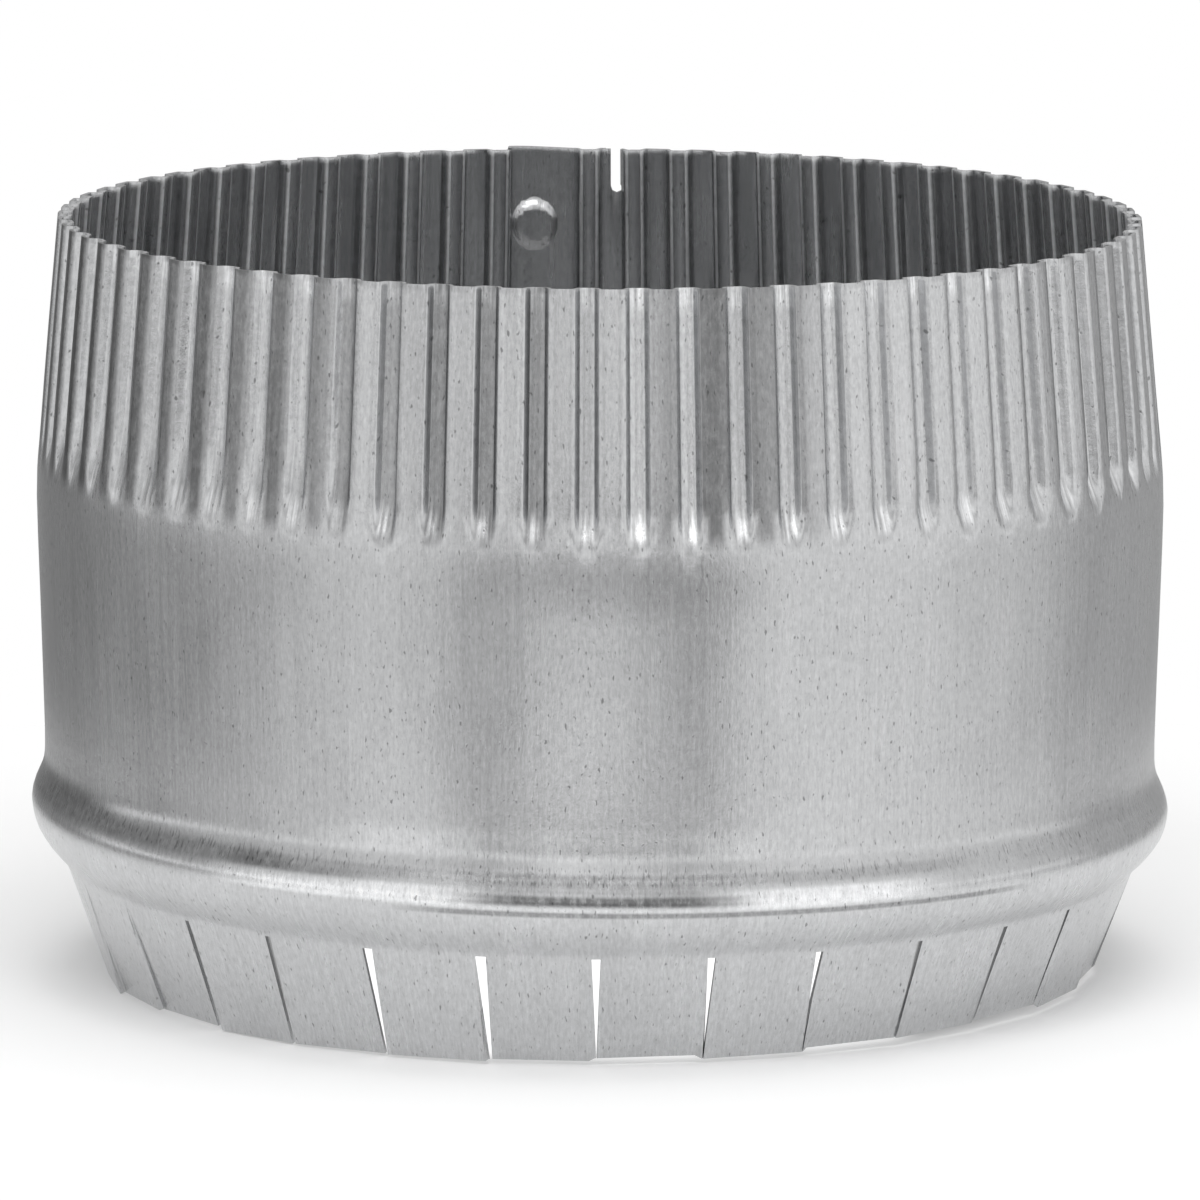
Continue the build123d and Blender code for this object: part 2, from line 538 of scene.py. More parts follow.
@dataclass
class FormingTree(NodeKit):
    """The Geometry Nodes tree that rolls the blank and presses every form into it.

    Named inputs and spans are metres and radians; bends, buttons, patches and deep turns are
    millimetres and degrees.
    """

    name: str
    bends: list[Bend]
    buttons: list[Button]
    # Stretches of painted shade on the ridges and in the valleys.
    shade_on_ridges: tuple[Patch, ...]
    shade_in_valleys: tuple[Patch, ...]
    deep_turns: Span
    sizes: dict[str, float]
    patch_soft: float = 4.0
    joggle: Span = (FULL_TURN - 0.066, FULL_TURN - 0.004)
    free_end: Span = (FULL_TURN + 0.02, FULL_TURN + 0.19)
    free_rise: Span = (0.08, 0.103)
    swells: float = 28.0
    swell_place: float = 1.7
    deep_floor: float = 0.5
    press_core: float = 0.72
    tab_flatness: float = 0.9
    dull_base: float = 0.02
    dull_spread: float = 0.14
    ridge_share: Span = (0.02, 0.3)
    valley_share: Span = (0.7, 0.98)
    count_guard: float = 0.25
    tree: bpy.types.NodeTree = field(init=False)
    inputs: bpy.types.Node = field(init=False)

    def build(self) -> bpy.types.NodeTree:
        """Make the tree with its inputs.

        Returns:
            The finished node tree.
        """
        self.tree = bpy.data.node_groups.new(self.name, "GeometryNodeTree")
        self.tree.is_modifier = True
        face = self.tree.interface
        face.new_socket("Geometry", in_out="INPUT", socket_type="NodeSocketGeometry")
        face.new_socket("Finish", in_out="INPUT", socket_type="NodeSocketMaterial")
        for label, value in self.sizes.items():
            socket = face.new_socket(label, in_out="INPUT", socket_type="NodeSocketFloat")
            socket.default_value = value
        face.new_socket("Geometry", in_out="OUTPUT", socket_type="NodeSocketGeometry")
        self.inputs = self.add("NodeGroupInput")
        flat = self.separate(self.add("GeometryNodeInputPosition").outputs[0])
        turn = flat[0] / self.size("Band Radius")
        radius, lift, dull_and_shade = self.formed(turn, flat[1])
        shape = self.inputs.outputs["Geometry"]
        shape = self.store(shape, "UVMap", "FLOAT2", "CORNER", self.combine(flat[0], flat[1], 0.0))
        # Each flat's darkness, a random dullness with painted shade, kept for the finish.
        shape = self.store(shape, "dull_and_shade", "FLOAT", "POINT", dull_and_shade.socket)
        move = self.add("GeometryNodeSetPosition")
        self.link(self.round(turn, radius, lift), move.inputs["Position"])
        smooth = self.add("GeometryNodeSetShadeSmooth")
        real = self.add("GeometryNodeRealizeInstances")
        paint = self.add("GeometryNodeSetMaterial")
        self.link(self.inputs.outputs["Finish"], paint.inputs["Material"])
        for step in (move, smooth, real, paint, self.add("NodeGroupOutput")):
            self.link(shape, step.inputs["Geometry"])
            shape = step.outputs[0] if step.outputs else shape
        return self.tree

    def size(self, label: str) -> Field:
        """One named input as a field."""
        return self.field(self.inputs.outputs[label])

    def chance(self, identity: Field, draw: Draw, spread: float = 1.0) -> Field:
        """A fixed random value for each whole number, between minus and plus a spread.

        Args:
            identity: Number that each value belongs to.
            draw: Which draw it is.
            spread: Largest value.

        Returns:
            The value as a field.
        """
        node = self.add("FunctionNodeRandomValue")
        node.data_type = "FLOAT"
        low, high = [s for s in node.inputs if s.type == "VALUE" and s.enabled][:2]
        low.default_value = -spread
        high.default_value = spread
        self.link((identity + self.count_guard).floor().socket, node.inputs["ID"])
        node.inputs["Seed"].default_value = draw.value
        return self.field([s for s in node.outputs if s.type == "VALUE" and s.enabled][0])

    def ripple(self, turn: Field, rise: Field) -> Field:
        """Slow unevenness of the sheet, about nought.

        Args:
            turn: Turn round the axis.
            rise: Height.

        Returns:
            Noise between about minus and plus one half.
        """
        node = self.add("ShaderNodeTexNoise")
        node.noise_dimensions = "3D"
        node.inputs["Scale"].default_value = self.swells
        node.inputs["Detail"].default_value = 1.0
        radius = self.size("Band Radius")
        place = self.combine(turn.cos() * radius + self.swell_place, turn.sin() * radius, rise)
        self.link(place, node.inputs["Vector"])
        return self.field(node.outputs[0]) - 0.5

    def profile(self, rise: Field) -> Field:
        """Outer radius of the plain wall at a height, through the bends with corners rounded.

        Args:
            rise: Height above the tips.

        Returns:
            The radius as a field.
        """
        bends = self.bends
        slopes = [
            (after.radius - before.radius) / (after.height - before.height)
            for before, after in zip(bends, bends[1:])
        ]
        radius = rise * slopes[0] + bends[0].radius * MM
        for bend, before, after in zip(bends[1:], slopes, slopes[1:]):
            past = (rise - bend.height * MM).soft_rise(bend.rounding * MM)
            radius = radius + past * (after - before)
        return radius

    def formed(self, turn: Field, rise: Field) -> tuple[Field, Field, Field]:
        """Radius and height of every point after rolling, beading, crimping, lapping and bending.

        Args:
            turn: Turn of the point round the axis.
            rise: Height of the point on the blank.

        Returns:
            The radius, the height and how dark the flat is there: a random dullness with painted
            shade.
        """
        press, tilt, dull_and_shade = self.crimps(turn, rise)
        radius = self.profile(rise) - press * self.size("Crimp Depth") + tilt
        radius = radius - turn.ramp(*self.joggle) * self.size("Lap Inset")
        radius = radius + self.tabs(turn, rise)
        radius = radius + self.ripple(turn, rise) * self.size("Unevenness")
        radius = radius - self.buttons_press(turn, rise) * self.size("Button Rise")
        free = turn.ramp(*self.free_end) * rise.ramp(*self.free_rise)
        lift = rise + free * self.size("Rim Step")
        lift = lift - self.skew(rise) * radius * (turn + self.size("Lap Angle")).cos()
        return radius, lift + self.tip_steps(turn, rise), dull_and_shade

    def skew(self, rise: Field) -> Field:
        """How far out of square the ring stands at a height: at the tips, the bead and the rim.

        Args:
            rise: Height of the point.

        Returns:
            Slope of the ring as a field.
        """
        tip, bead, rim = (self.size(f"{place} Skew") for place in ("Tip", "Bead", "Rim"))
        bead_height = self.size("Bead Height")
        to_bead = rise.ramp(0.0, bead_height, Slope.STRAIGHT)
        to_rim = rise.ramp(bead_height, self.size("Height"), Slope.STRAIGHT)
        return tip + (bead - tip) * to_bead + (rim - bead) * to_rim

    def tip_share(self, rise: Field) -> Field:
        """One at the tips, falling to nought at the top of the tabs."""
        return 1.0 - rise.ramp(0.0, self.size("Tab Height"), Slope.STRAIGHT)

    def tip_steps(self, turn: Field, rise: Field) -> Field:
        """Extra height at the tips, where each tab was cut a little longer or shorter."""
        cell = (turn / (FULL_TURN / self.sizes["Tab Count"])).floor()
        return self.chance(cell, Draw.TIP_STEP) * self.tip_share(rise) * self.size("Tip Step")

    def crimps(self, turn: Field, rise: Field) -> tuple[Field, Field, Field]:
        """The crimped wave, pressed flat about the buttons and ended by round feet.

        Args:
            turn: Turn of the point round the axis.
            rise: Height of the point.

        Returns:
            How far each point is into a crimp, from nought to one, the lean of each flat in
            metres, and how dark the flat is: a random dullness with painted shade.
        """
        count = (turn - self.size("Crimp Phase")) / self.size("Crimp Pitch")
        cell = (count + 0.5).floor()
        away = count - cell
        valley = count.floor()
        middle = count - valley - 0.5
        bow = middle * middle * self.size("Foot Round")
        drop = self.chance(valley, Draw.FOOT_STEP) * self.size("Foot Step")
        deep = self.between(turn, *self.deep_turns)
        foot = self.size("Crimp Foot")
        full = self.size("Crimp Full") + deep * self.size("Deep Fade")
        fade = (rise - bow + drop).ramp(foot, full)
        opened = deep * self.size("Deep Open")
        mouth = self.size("Ridge Edge") - (1.0 - fade) * self.size("Foot Flare") - opened
        wave = away.size().ramp(mouth, self.size("Valley Edge") + opened * self.deep_floor)
        ridge_lean = self.chance(cell, Draw.RIDGE_LEAN) * away
        valley_lean = self.chance(valley, Draw.VALLEY_LEAN) * middle
        lean = ridge_lean * (1.0 - wave) + valley_lean * wave
        flat = self.flat_share(turn) * fade
        dull_and_shade = self.dull_and_shade(turn, cell, valley, wave)
        dull_and_shade = dull_and_shade * rise.ramp(foot, foot + self.size("Dull Shade Fade"))
        return wave * flat, lean * self.size("Flat Lean") * flat, dull_and_shade

    def between(self, turn: Field, low: float, high: float) -> Field:
        """One between two turns in degrees, nought outside them, with soft ends.

        Args:
            turn: Turn of the point round the axis.
            low: Turn at which it starts.
            high: Turn at which it ends.

        Returns:
            The share as a field.
        """
        start, end, soft = (math.radians(angle) for angle in (low, high, self.patch_soft))
        return turn.window((start - soft, start + soft), (end - soft, end + soft))

    def dull_and_shade(self, turn: Field, ridge: Field, valley: Field, wave: Field) -> Field:
        """How dark each flat is: a random dullness, with painted shade over stretches of the ring.

        Args:
            turn: Turn of the point round the axis.
            ridge: Number of the ridge.
            valley: Number of the valley.
            wave: Nought on ridges, one in valleys.

        Returns:
            Darkness from nought to about one.
        """
        on_ridges = self.patches(turn, ridge, Draw.RIDGE_DULL, self.shade_on_ridges)
        in_valleys = self.patches(turn, valley, Draw.VALLEY_DULL, self.shade_in_valleys)
        on_ridges = on_ridges * (1.0 - wave.ramp(*self.ridge_share))
        in_valleys = in_valleys * wave.ramp(*self.valley_share)
        return (on_ridges + in_valleys).most(0.0)

    def patches(
        self, turn: Field, cell: Field, draw: Draw, patches: tuple[Patch, ...]
    ) -> Field:
        """Darkness of the numbered flats: a random dullness, and painted shade in some patches.

        Args:
            turn: Turn of the point round the axis.
            cell: Number of the flat.
            draw: Which draw it is.
            patches: Stretches darkened with painted shade.

        Returns:
            The darkness as a field.
        """
        total = self.chance(cell, draw, self.dull_spread) + self.dull_base
        for patch in patches:
            total = total + self.between(turn, patch.low, patch.high) * patch.depth
        return total

    def flat_share(self, turn: Field) -> Field:
        """One where the crimps stand, nought where the lap's press flattened them.

        Args:
            turn: Turn of the point round the axis.

        Returns:
            The share as a field.
        """
        reach = self.size("Press Reach")
        shares = []
        for around in sorted({round(b.turn, 4) for b in self.buttons}):
            middle = math.radians(around) - self.size("Press Shift")
            shares.append((turn - middle).size().ramp(reach * self.press_core, reach))
        return reduce(mul, shares)

    def tabs(self, turn: Field, rise: Field) -> Field:
        """Extra radius of the tabs: each is flat across, and bent a little more or less.

        Args:
            turn: Turn of the point round the axis.
            rise: Height of the point.

        Returns:
            The extra radius in metres.
        """
        pitch = FULL_TURN / self.sizes["Tab Count"]
        count = turn / pitch
        cell = count.floor()
        away = (count - cell - 0.5) * pitch
        low = self.tip_share(rise)
        flat = (1.0 / away.cos() - 1.0) * self.size("Band Radius") * low
        bend = self.chance(cell, Draw.TAB_BEND) * low * self.size("Tab Uneven")
        lean = self.chance(cell, Draw.TAB_LEAN) * away * low * self.size("Tab Twist")
        return flat * self.tab_flatness + bend + lean

    def buttons_press(self, turn: Field, rise: Field) -> Field:
        """How far the clinched buttons press the sheet in, from nought to one.

        Args:
            turn: Turn of the point round the axis.
            rise: Height of the point.

        Returns:
            The press as a field.
        """
        pressed = []
        for button in self.buttons:
            across = (turn - math.radians(button.turn)) * self.size("Band Radius")
            along = rise - button.height * MM
            away = (across * across + along * along).root()
            pressed.append(1.0 - away.ramp(self.size("Button Face"), self.size("Button Edge")))
        return reduce(add, pressed)

    def round(self, turn: Field, radius: Field, lift: Field) -> bpy.types.NodeSocket:
        """Place on the rolled ring for a turn, a radius and a height."""
        angle = turn + self.size("Lap Angle")
        return self.combine(angle.cos() * radius, angle.sin() * radius, lift)

    def store(
        self,
        geometry: bpy.types.NodeSocket,
        name: str,
        kind: str,
        domain: str,
        value: bpy.types.NodeSocket,
    ) -> bpy.types.NodeSocket:
        """Keep a value on the geometry as a named attribute.

        Args:
            geometry: Socket with the geometry.
            name: Name of the attribute.
            kind: Its data type.
            domain: Where it is kept, at points or at corners.
            value: Socket with the value.

        Returns:
            Socket with the marked geometry.
        """
        node = self.add("GeometryNodeStoreNamedAttribute")
        node.data_type = kind
        node.domain = domain
        node.inputs["Name"].default_value = name
        self.link(geometry, node.inputs["Geometry"])
        self.link(value, [s for s in node.inputs if s.name == "Value" and s.enabled][0])
        return node.outputs[0]


@dataclass(frozen=True)
class Pattern:
    """A noise on the strip: its repeats in a metre round and up, its detail and roughness."""

    across: float
    along: float
    detail: float
    roughness: float = 0.5


class ShaderTree(NodeKit):
    """A material's node tree with short calls for the nodes that the finishes share."""

    def __init__(self, name: str) -> None:
        """Start an empty material.

        Args:
            name: Name of the material.
        """
        self.material = bpy.data.materials.new(name)
        self.material.use_nodes = True
        self.tree = self.material.node_tree
        self.tree.nodes.clear()
        self.output = self.add("ShaderNodeOutputMaterial")

    def strip_place(self, across: float, along: float) -> bpy.types.NodeSocket:
        """Place on the flat strip, stretched for a pattern.

        Args:
            across: Pattern repeats in a metre round the band.
            along: Pattern repeats in a metre up the axis.

        Returns:
            Vector socket of the stretched place.
        """
        place = self.add("ShaderNodeUVMap")
        place.uv_map = "UVMap"
        mapping = self.add("ShaderNodeMapping")
        mapping.inputs["Scale"].default_value = (across, along, 1.0)
        self.link(place.outputs[0], mapping.inputs["Vector"])
        return mapping.outputs[0]

    def strip_mm(self) -> tuple[Field, Field]:
        """Millimetres round the strip and up it."""
        across, rise, _ = self.separate(self.strip_place(1.0 / MM, 1.0 / MM))
        return across, rise

    def noise(self, pattern: Pattern) -> Field:
        """Noise of a pattern, about one half.

        Args:
            pattern: Repeats, detail and roughness.

        Returns:
            The noise as a field.
        """
        node = self.add("ShaderNodeTexNoise")
        node.inputs["Scale"].default_value = 1.0
        node.inputs["Detail"].default_value = pattern.detail
        node.inputs["Roughness"].default_value = pattern.roughness
        self.link(self.strip_place(pattern.across, pattern.along), node.inputs["Vector"])
        return self.field(node.outputs[0])

    def cells(self, across: float, along: float) -> Field:
        """Tone of a cell pattern with its repeats in a metre each way.

        Args:
            across: Repeats in a metre round the band.
            along: Repeats in a metre up the axis.

        Returns:
            One tone for each cell, as a field.
        """
        node = self.add("ShaderNodeTexVoronoi")
        node.inputs["Scale"].default_value = 1.0
        self.link(self.strip_place(across, along), node.inputs["Vector"])
        return self.field(node.outputs["Color"])

    def grey(self, value: Field, tint: Point) -> bpy.types.NodeSocket:
        """Colour of a grey value with a tint.

        Args:
            value: Grey value.
            tint: Share of it in red, green and blue.

        Returns:
            Output socket with the colour.
        """
        node = self.add("ShaderNodeCombineColor")
        for share, socket in zip(tint, node.inputs):
            self.link((value * share).socket, socket)
        return node.outputs[0]

    def metal(self, value: Field, tint: Point, rough: Field) -> bpy.types.Node:
        """Bare metal on the whole surface.

        Args:
            value: Its grey.
            tint: Its tint.
            rough: Its roughness.

        Returns:
            The shader node.
        """
        principled = self.add("ShaderNodeBsdfPrincipled")
        principled.inputs["Metallic"].default_value = 1.0
        self.link(self.grey(value, tint), principled.inputs["Base Color"])
        self.link(rough.socket, principled.inputs["Roughness"])
        self.link(principled.outputs[0], self.output.inputs["Surface"])
        return principled


@dataclass(frozen=True)
class PaintedLightLine:
    """A stretch of painted shade on the bead and band, or of painted highlight where its depth is
    below nought.

    Low and high are millimetres up the axis, start and end millimetres round the strip.
    """

    low: float
    high: float
    start: float
    end: float
    depth: float
    soft: float


@dataclass(frozen=True)
class GalvanisedFinish:
    """Rolled zinc coating: fine grain along the axis, a faint spangle, small pits and scuffs, with
    painted shade on some flats and on the bead, and painted highlights at the folds, the valleys'
    feet and below the rim.

    Heights and widths are millimetres on the strip.
    """

    name: str = "galvanised_sheet"
    grey: float = 0.58
    tint: Point = (0.992, 1.0, 1.012)
    roughness: float = 0.25
    grain: Pattern = Pattern(3000.0, 620.0, 3.0, 0.6)
    streaks: Pattern = Pattern(1300.0, 30.0, 2.0, 0.55)
    mottling: Pattern = Pattern(1500.0, 1100.0, 3.0, 0.7)
    clouds: Pattern = Pattern(90.0, 60.0, 2.0)
    pits: Pattern = Pattern(2300.0, 900.0, 1.0)
    scale: Pattern = Pattern(900.0, 420.0, 3.0, 0.75)
    spangle: Span = (150.0, 110.0)
    grain_depth: float = 0.52
    streak_depth: float = 0.4
    mottle_depth: float = 0.34
    cloud_depth: float = 0.12
    spangle_depth: float = 0.05
    pit_range: Span = (0.66, 0.76)
    pit_depth: float = 0.5
    scale_range: Span = (0.30, 0.62)
    dull_and_shade_depth: float = 0.75
    dull_and_shade_scale: Span = (0.2, 0.85)
    uneven_gloss: float = 0.12
    bump: float = 0.16
    bump_height: float = 0.0002
    bump_shares: tuple[float, ...] = (0.6, 0.4, 0.5, -0.5)
    facing_soft: float = 0.004
    fold_pitch: float = BAND_GIRTH / CRIMP_COUNT
    fold_start: float = BAND_RADIUS * math.radians(CRIMP_PHASE)
    fold_edge: float = 0.37
    fold_width: Span = (0.006, 0.032)
    fold_rise: Span = (71.0, 75.0)
    fold_highlight: float = 0.45
    fold_rough: float = 0.2
    valley_share: Span = (0.26, 0.42)
    glint_streak: Span = (0.36, 0.6)
    foot_glint: float = 0.65
    foot_rise: Span = (69.4, 71.2)
    foot_fall: Span = (72.4, 75.0)
    rim_glint: float = 0.45
    rim_rise: Span = (99.2, 101.4)
    pressed_flat: Span = (BUTTON_SETBACK, BUTTON_SETBACK + BAND_GIRTH)
    pressed_reach: Span = (4.0, 4.6)
    scuff_rise: Span = (24.4, 25.4)
    scuff_fall: Span = (26.8, 28.4)
    scuff_grain: Span = (0.52, 0.66)
    scuff_depth: float = 0.34
    painted_line_end: float = 6.0
    painted_line_patchiness: Span = (0.5, 0.6)
    scuff_and_line_limit: float = 0.9
    # Lines of painted shade on the bead and band; a depth below nought makes a painted highlight.
    painted_light_lines: tuple[PaintedLightLine, ...] = (
        PaintedLightLine(22.5, 23.7, 224.0, 258.0, 0.62, 0.35),
        PaintedLightLine(24.9, 26.4, 224.0, 256.0, 0.42, 0.4),
        PaintedLightLine(25.1, 26.4, 190.0, 224.0, 0.22, 0.4),
        PaintedLightLine(25.1, 26.4, 256.0, 290.0, 0.22, 0.4),
        PaintedLightLine(20.9, 21.6, 216.0, 300.0, 0.46, 0.2),
        PaintedLightLine(24.4, 28.4, 118.0, 162.0, 0.42, 0.9),
        PaintedLightLine(24.2, 26.6, 160.0, 196.0, 0.38, 0.7),
        PaintedLightLine(23.8, 25.2, 192.0, 208.0, 0.35, 0.5),
        PaintedLightLine(22.0, 24.4, 188.0, 224.0, -0.65, 0.4),
        PaintedLightLine(22.1, 24.4, 256.0, 284.0, -0.5, 0.4),
        PaintedLightLine(24.0, 24.9, 226.0, 254.0, 0.22, 0.3),
        PaintedLightLine(21.7, 22.2, 222.0, 276.0, -0.2, 0.3),
        PaintedLightLine(28.4, 31.6, 204.0, 262.0, -0.22, 1.2),
        PaintedLightLine(61.0, 67.0, 234.0, 262.0, 0.12, 2.5),
    )

    def inside(self, shade: ShaderTree) -> Field:
        """One on faces that look towards the axis, nought on the outer ones.

        Args:
            shade: The material's tree.

        Returns:
            The share as a field.
        """
        product = shade.add("ShaderNodeVectorMath")
        product.operation = "DOT_PRODUCT"
        place = shade.add("ShaderNodeTexCoord").outputs["Object"]
        shade.link(place, product.inputs[0])
        shade.link(shade.add("ShaderNodeNewGeometry").outputs["Normal"], product.inputs[1])
        outward = shade.field(product.outputs["Value"])
        return 1.0 - outward.ramp(-self.facing_soft, self.facing_soft)

    def across_crimp(self, across: Field) -> Field:
        """Share of the way from the middle of a ridge to the middle of a valley."""
        count = (across - self.fold_start) / self.fold_pitch
        return (count - (count + 0.5).floor()).size()

    def glints(self, shade: ShaderTree, streak: Field) -> Field:
        """Streaky painted highlights in the valleys, at their feet and below the rim.

        Args:
            shade: The material's tree.
            streak: Streaks along the axis.

        Returns:
            Painted highlight from nought to about one.
        """
        across, rise = shade.strip_mm()
        valley = self.across_crimp(across).ramp(*self.valley_share)
        foot = rise.window(self.foot_rise, self.foot_fall) * self.foot_glint
        rim = rise.ramp(*self.rim_rise) * self.rim_glint
        return (foot + rim) * valley * streak.ramp(*self.glint_streak)

    def folds(self, shade: ShaderTree) -> Field:
        """Thin painted highlight lines where each crimp folds, over the crimped end.

        Args:
            shade: The material's tree.

        Returns:
            One on a fold, nought beside it.
        """
        across, rise = shade.strip_mm()
        away = self.across_crimp(across) - self.fold_edge
        line = 1.0 - away.size().ramp(*self.fold_width)
        for spot in self.pressed_flat:
            line = line * (across - spot).size().ramp(*self.pressed_reach)
        return line * rise.ramp(*self.fold_rise)

    def scuffs_and_painted_lines(self, shade: ShaderTree, grain: Field, scale: Field) -> Field:
        """Short upright scuffs in the bead's coating, with lines of painted shade and of painted
        highlight.

        Args:
            shade: The material's tree.
            grain: Fine grain of the sheet.
            scale: Coarser mottling.

        Returns:
            Darkening from nought to about one, below nought where painted highlights brighten it.
        """
        across, rise = shade.strip_mm()
        scuffed = rise.window(self.scuff_rise, self.scuff_fall)
        scuffs = scuffed * grain.ramp(*self.scuff_grain) * self.scuff_depth
        line_tones = []
        for line in self.painted_light_lines:
            up = rise.around(line.low, line.high, line.soft)
            line_tones.append(up * across.around(line.start, line.end, self.painted_line_end) * line.depth)
        patchy = scale * self.painted_line_patchiness[0] + self.painted_line_patchiness[1]
        return (scuffs + reduce(add, line_tones) * patchy).least(self.scuff_and_line_limit)

    def build(self) -> bpy.types.Material:
        """Make the material.

        Returns:
            The finished material.
        """
        shade = ShaderTree(self.name)
        grain, streak, mottle, cloud = (
            shade.noise(pattern)
            for pattern in (self.grain, self.streaks, self.mottling, self.clouds)
        )
        flake = shade.cells(*self.spangle)
        pit = shade.noise(self.pits).ramp(*self.pit_range)
        scale = shade.noise(self.scale).ramp(*self.scale_range)
        mark = shade.add("ShaderNodeAttribute")
        mark.attribute_name = "dull_and_shade"
        dull_shade = shade.field(mark.outputs["Fac"])
        dull_shade = (dull_shade * (scale * self.dull_and_shade_scale[0] + self.dull_and_shade_scale[1])).least(1.0)
        tone = (
            (grain - 0.5) * self.grain_depth
            + (streak - 0.5) * self.grain_depth * self.streak_depth
            + (mottle - 0.5) * self.mottle_depth
            + (cloud - 0.5) * self.cloud_depth
            + (flake - 0.5) * self.spangle_depth
        )
        inside = self.inside(shade)
        outside = 1.0 - inside
        # Painted highlight lines along the folds, on the inner face only.
        fold = self.folds(shade) * inside
        value = (tone + 1.0) * self.grey * (1.0 - pit * self.pit_depth)
        # Darkens the outer face: a random dullness on each flat, with painted shade over some
        # stretches.
        value = value * (1.0 - dull_shade * outside * self.dull_and_shade_depth)
        # Painted highlights: lines along the inner folds, and streaks at the valleys' feet and
        # below the rim.
        value = value * (fold * self.fold_highlight + self.glints(shade, streak) * outside + 1.0)
        # Real scuffs on the bead, with lines of painted shade and painted highlight.
        value = value * (1.0 - self.scuffs_and_painted_lines(shade, grain, scale))
        uneven = (streak - 0.5) * self.uneven_gloss + (cloud - 0.5) * self.uneven_gloss
        rough = uneven + fold * self.fold_rough + self.roughness
        principled = shade.metal(value, self.tint, rough)
        bump = shade.add("ShaderNodeBump")
        bump.inputs["Strength"].default_value = self.bump
        bump.inputs["Distance"].default_value = self.bump_height
        parts = zip((grain, streak, mottle, pit), self.bump_shares)
        height = reduce(add, [part * share for part, share in parts])
        shade.link(height.socket, bump.inputs["Height"])
        shade.link(bump.outputs[0], principled.inputs["Normal"])
        return shade.material


@dataclass(frozen=True)
class CutEdgeFinish:
    """Bare sheared edge of the sheet with fine marks, bright but for painted shade on the cut edges
    low on the tabs.
    """

    name: str = "sheared_edge"
    grey: float = 0.72
    roughness: float = 0.3
    marks: Pattern = Pattern(3000.0, 3000.0, 2.0)
    mark_depth: float = 0.3
    mark_rough: float = 0.2
    edge_shade_rise: Span = (14.8, 15.2)
    edge_shade_depth: float = 0.8

    def build(self) -> bpy.types.Material:
        """Make the material.

        Returns:
            The finished material.
        """
        shade = ShaderTree(self.name)
        marks = shade.noise(self.marks) - 0.5
        _, rise = shade.strip_mm()
        edge_shade = 1.0 - rise.ramp(*self.edge_shade_rise)
        value = (marks * self.mark_depth + 1.0) * self.grey
        # Painted shade darkens the cut edges of the slits and tips, below the tabs' tops.
        value = value * (1.0 - edge_shade * self.edge_shade_depth)
        shade.metal(value, WHITE, marks * self.mark_rough + self.roughness)
        return shade.material


